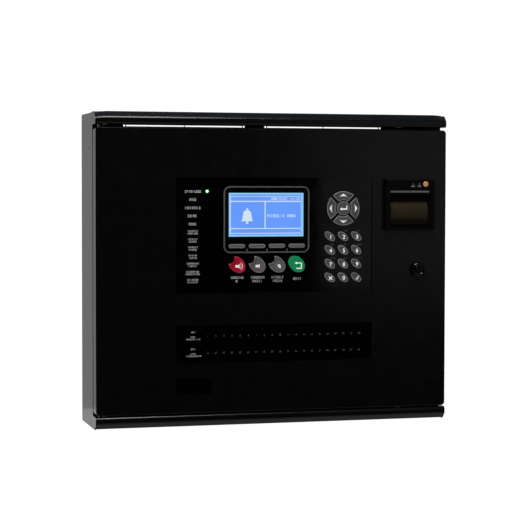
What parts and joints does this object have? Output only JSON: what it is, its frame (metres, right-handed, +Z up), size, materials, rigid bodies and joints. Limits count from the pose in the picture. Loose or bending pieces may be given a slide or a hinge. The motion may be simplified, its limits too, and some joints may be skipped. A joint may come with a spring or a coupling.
{
  "type": "fire alarm control panel",
  "caption": "Wall-hung fire alarm control panel: folded steel cabinet, hinged pan door with keypad, lit display, zone strip, panel printer and cam lock.",
  "frame": {"origin": "centre of the cabinet's back face, on the wall", "axes": "+X to the right along the width, +Y into the wall, +Z up"},
  "size_m": [0.53, 0.1323, 0.4555],
  "materials": {
    "case_paint": "black powder coat, semi-gloss, fine orange peel",
    "zinc_steel": "zinc plated steel",
    "overlay_film": "black printed film over a stiff plate",
    "black_plastic": "black moulded plastic, satin",
    "grey_key": "grey moulded key, satin",
    "red_key": "crimson moulded key, satin",
    "green_key": "green moulded key, satin",
    "orange_key": "orange translucent button",
    "led_lens": "green lit lens",
    "smoked_clear": "smoked transparent plastic",
    "display": "blue backlit display module",
    "circuit_board": "green solder mask",
    "paper": "thermal paper",
    "rubber": "black rubber",
    "battery_case": "dark grey battery case",
    "terminal_green": "green terminal strip",
    "lock_black": "black lacquered lock collar"
  },
  "bodies": {
    "cabinet": {"back_box": "case_paint", "top_rail": "case_paint", "bottom_rail": "case_paint", "upper_hinge_pin": "zinc_steel", "lower_hinge_pin": "zinc_steel", "strike_plate": "zinc_steel", "board_carrier": "zinc_steel", "main_board": "circuit_board", "field_terminals": "terminal_green", "power_supply": "zinc_steel", "battery_left": "battery_case", "battery_right": "battery_case", "battery_bracket": "zinc_steel"},
    "door": {"door_panel": "case_paint", "keypad_plate": "overlay_film", "lcd_window": "smoked_clear", "lcd_module": "display", "keypad_board": "circuit_board", "zone_board": "circuit_board", "buzzer": "black_plastic", "zone_plate": "overlay_film", "badge_plate": "overlay_film", "power_led": "led_lens", "printer_frame": "black_plastic", "printer_housing": "black_plastic", "printer_head": "zinc_steel", "lock_barrel": "lock_black", "lock_nut": "zinc_steel"},
    "key_soft_1_body": {"key_soft_1": "grey_key"},
    "key_soft_2_body": {"key_soft_2": "grey_key"},
    "key_soft_3_body": {"key_soft_3": "grey_key"},
    "key_soft_4_body": {"key_soft_4": "grey_key"},
    "key_sounders_on_body": {"key_sounders_on": "red_key"},
    "key_sounders_silence_body": {"key_sounders_silence": "grey_key"},
    "key_buzzer_silence_body": {"key_buzzer_silence": "grey_key"},
    "key_reset_body": {"key_reset": "green_key"},
    "key_up_body": {"key_up": "grey_key"},
    "key_down_body": {"key_down": "grey_key"},
    "key_left_body": {"key_left": "grey_key"},
    "key_right_body": {"key_right": "grey_key"},
    "key_enter_body": {"key_enter": "grey_key"},
    "key_0_body": {"key_0": "grey_key"},
    "key_1_body": {"key_1": "grey_key"},
    "key_2_body": {"key_2": "grey_key"},
    "key_3_body": {"key_3": "grey_key"},
    "key_4_body": {"key_4": "grey_key"},
    "key_5_body": {"key_5": "grey_key"},
    "key_6_body": {"key_6": "grey_key"},
    "key_7_body": {"key_7": "grey_key"},
    "key_8_body": {"key_8": "grey_key"},
    "key_9_body": {"key_9": "grey_key"},
    "key_cancel_body": {"key_cancel": "grey_key"},
    "key_accept_body": {"key_accept": "grey_key"},
    "feed_button_body": {"feed_button": "orange_key"},
    "cover": {"printer_cover": "smoked_clear"},
    "platen": {"platen_roller": "rubber"},
    "roll": {"paper_roll": "paper"},
    "lock": {"lock_plug": "zinc_steel", "lock_cam": "zinc_steel"}
  },
  "joints": [
    {"name": "door_hinge", "type": "hinge", "parent": "cabinet", "child": "door", "pos_m": [-0.258, -0.11, 0], "axis": [0, 0, -1], "range_deg": [0, 120]},
    {"name": "key_soft_1_press", "type": "slide", "parent": "door", "child": "key_soft_1_body", "axis": [0, 1, 0], "range_m": [0, 0.0006], "stiffness_N_per_m": 400, "springref_m": -0.0005},
    {"name": "key_soft_2_press", "type": "slide", "parent": "door", "child": "key_soft_2_body", "axis": [0, 1, 0], "range_m": [0, 0.0006], "stiffness_N_per_m": 400, "springref_m": -0.0005},
    {"name": "key_soft_3_press", "type": "slide", "parent": "door", "child": "key_soft_3_body", "axis": [0, 1, 0], "range_m": [0, 0.0006], "stiffness_N_per_m": 400, "springref_m": -0.0005},
    {"name": "key_soft_4_press", "type": "slide", "parent": "door", "child": "key_soft_4_body", "axis": [0, 1, 0], "range_m": [0, 0.0006], "stiffness_N_per_m": 400, "springref_m": -0.0005},
    {"name": "key_sounders_on_press", "type": "slide", "parent": "door", "child": "key_sounders_on_body", "axis": [0, 1, 0], "range_m": [0, 0.0006], "stiffness_N_per_m": 400, "springref_m": -0.0005},
    {"name": "key_sounders_silence_press", "type": "slide", "parent": "door", "child": "key_sounders_silence_body", "axis": [0, 1, 0], "range_m": [0, 0.0006], "stiffness_N_per_m": 400, "springref_m": -0.0005},
    {"name": "key_buzzer_silence_press", "type": "slide", "parent": "door", "child": "key_buzzer_silence_body", "axis": [0, 1, 0], "range_m": [0, 0.0006], "stiffness_N_per_m": 400, "springref_m": -0.0005},
    {"name": "key_reset_press", "type": "slide", "parent": "door", "child": "key_reset_body", "axis": [0, 1, 0], "range_m": [0, 0.0006], "stiffness_N_per_m": 400, "springref_m": -0.0005},
    {"name": "key_up_press", "type": "slide", "parent": "door", "child": "key_up_body", "axis": [0, 1, 0], "range_m": [0, 0.0006], "stiffness_N_per_m": 400, "springref_m": -0.0005},
    {"name": "key_down_press", "type": "slide", "parent": "door", "child": "key_down_body", "axis": [0, 1, 0], "range_m": [0, 0.0006], "stiffness_N_per_m": 400, "springref_m": -0.0005},
    {"name": "key_left_press", "type": "slide", "parent": "door", "child": "key_left_body", "axis": [0, 1, 0], "range_m": [0, 0.0006], "stiffness_N_per_m": 400, "springref_m": -0.0005},
    {"name": "key_right_press", "type": "slide", "parent": "door", "child": "key_right_body", "axis": [0, 1, 0], "range_m": [0, 0.0006], "stiffness_N_per_m": 400, "springref_m": -0.0005},
    {"name": "key_enter_press", "type": "slide", "parent": "door", "child": "key_enter_body", "axis": [0, 1, 0], "range_m": [0, 0.0006], "stiffness_N_per_m": 400, "springref_m": -0.0005},
    {"name": "key_0_press", "type": "slide", "parent": "door", "child": "key_0_body", "axis": [0, 1, 0], "range_m": [0, 0.0006], "stiffness_N_per_m": 400, "springref_m": -0.0005},
    {"name": "key_1_press", "type": "slide", "parent": "door", "child": "key_1_body", "axis": [0, 1, 0], "range_m": [0, 0.0006], "stiffness_N_per_m": 400, "springref_m": -0.0005},
    {"name": "key_2_press", "type": "slide", "parent": "door", "child": "key_2_body", "axis": [0, 1, 0], "range_m": [0, 0.0006], "stiffness_N_per_m": 400, "springref_m": -0.0005},
    {"name": "key_3_press", "type": "slide", "parent": "door", "child": "key_3_body", "axis": [0, 1, 0], "range_m": [0, 0.0006], "stiffness_N_per_m": 400, "springref_m": -0.0005},
    {"name": "key_4_press", "type": "slide", "parent": "door", "child": "key_4_body", "axis": [0, 1, 0], "range_m": [0, 0.0006], "stiffness_N_per_m": 400, "springref_m": -0.0005},
    {"name": "key_5_press", "type": "slide", "parent": "door", "child": "key_5_body", "axis": [0, 1, 0], "range_m": [0, 0.0006], "stiffness_N_per_m": 400, "springref_m": -0.0005},
    {"name": "key_6_press", "type": "slide", "parent": "door", "child": "key_6_body", "axis": [0, 1, 0], "range_m": [0, 0.0006], "stiffness_N_per_m": 400, "springref_m": -0.0005},
    {"name": "key_7_press", "type": "slide", "parent": "door", "child": "key_7_body", "axis": [0, 1, 0], "range_m": [0, 0.0006], "stiffness_N_per_m": 400, "springref_m": -0.0005},
    {"name": "key_8_press", "type": "slide", "parent": "door", "child": "key_8_body", "axis": [0, 1, 0], "range_m": [0, 0.0006], "stiffness_N_per_m": 400, "springref_m": -0.0005},
    {"name": "key_9_press", "type": "slide", "parent": "door", "child": "key_9_body", "axis": [0, 1, 0], "range_m": [0, 0.0006], "stiffness_N_per_m": 400, "springref_m": -0.0005},
    {"name": "key_cancel_press", "type": "slide", "parent": "door", "child": "key_cancel_body", "axis": [0, 1, 0], "range_m": [0, 0.0006], "stiffness_N_per_m": 400, "springref_m": -0.0005},
    {"name": "key_accept_press", "type": "slide", "parent": "door", "child": "key_accept_body", "axis": [0, 1, 0], "range_m": [0, 0.0006], "stiffness_N_per_m": 400, "springref_m": -0.0005},
    {"name": "feed_button_press", "type": "slide", "parent": "door", "child": "feed_button_body", "axis": [0, 1, 0], "range_m": [0, 0.0008], "stiffness_N_per_m": 400, "springref_m": -0.0005},
    {"name": "printer_cover_hinge", "type": "hinge", "parent": "door", "child": "cover", "pos_m": [0.205, -0.128, 0.065], "axis": [1, 0, 0], "range_deg": [0, 75]},
    {"name": "platen_spin", "type": "hinge", "parent": "cover", "child": "platen", "pos_m": [0.205, -0.1188, 0.1032], "axis": [1, 0, 0], "continuous": true},
    {"name": "paper_roll_spin", "type": "hinge", "parent": "door", "child": "roll", "pos_m": [0.205, -0.1076, 0.0834], "axis": [1, 0, 0], "continuous": true},
    {"name": "lock_turn", "type": "hinge", "parent": "door", "child": "lock", "pos_m": [0.2197, -0.0962, -0.0014], "axis": [0, -1, 0], "range_deg": [0, 90]}
  ]
}
